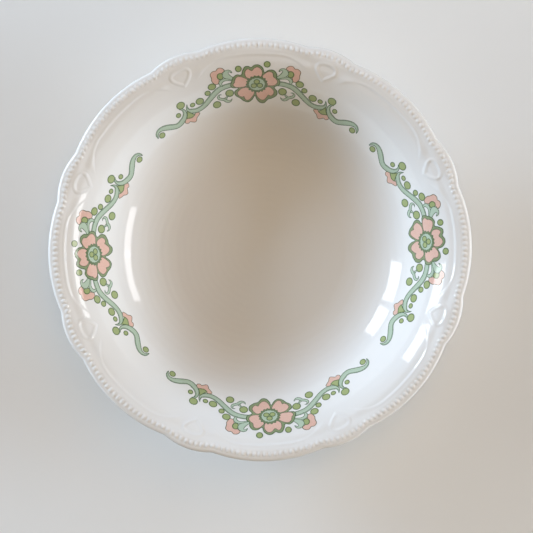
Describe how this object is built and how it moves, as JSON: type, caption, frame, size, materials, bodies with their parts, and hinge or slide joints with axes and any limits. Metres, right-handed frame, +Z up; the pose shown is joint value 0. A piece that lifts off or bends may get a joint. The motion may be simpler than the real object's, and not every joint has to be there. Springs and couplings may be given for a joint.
{
  "type": "porcelain serving bowl",
  "caption": "Round open serving bowl in glazed porcelain with a scalloped beaded rim, low relief mouldings, printed flower garlands inside and a foot ring.",
  "frame": {"origin": "centre of the standing plane, under the middle of the foot ring", "axes": "+Z up along the bowl's axis of rotation, +X through the flower of one garland, +Y through the flower of the next garland"},
  "size_m": [0.236, 0.236, 0.0516],
  "materials": {
    "glazed_porcelain": "gloss",
    "foot_porcelain": "gloss, bare on the standing edge",
    "print_pink": "printed under the gloss",
    "print_dark_green": "printed under the gloss",
    "print_sage": "printed under the gloss",
    "print_olive": "printed under the gloss"
  },
  "bodies": {
    "root": {"bowl_body": "glazed_porcelain", "foot_ring": "foot_porcelain", "rim_beading": "glazed_porcelain", "panel_mouldings": "glazed_porcelain", "loop_cartouches": "glazed_porcelain", "garland_east_petals": "print_pink", "garland_north_petals": "print_pink", "garland_west_petals": "print_pink", "garland_south_petals": "print_pink", "garland_east_edging": "print_dark_green", "garland_north_edging": "print_dark_green", "garland_west_edging": "print_dark_green", "garland_south_edging": "print_dark_green", "garland_east_stems": "print_sage", "garland_north_stems": "print_sage", "garland_west_stems": "print_sage", "garland_south_stems": "print_sage", "garland_east_berries": "print_olive", "garland_north_berries": "print_olive", "garland_west_berries": "print_olive", "garland_south_berries": "print_olive"}
  },
  "joints": []
}
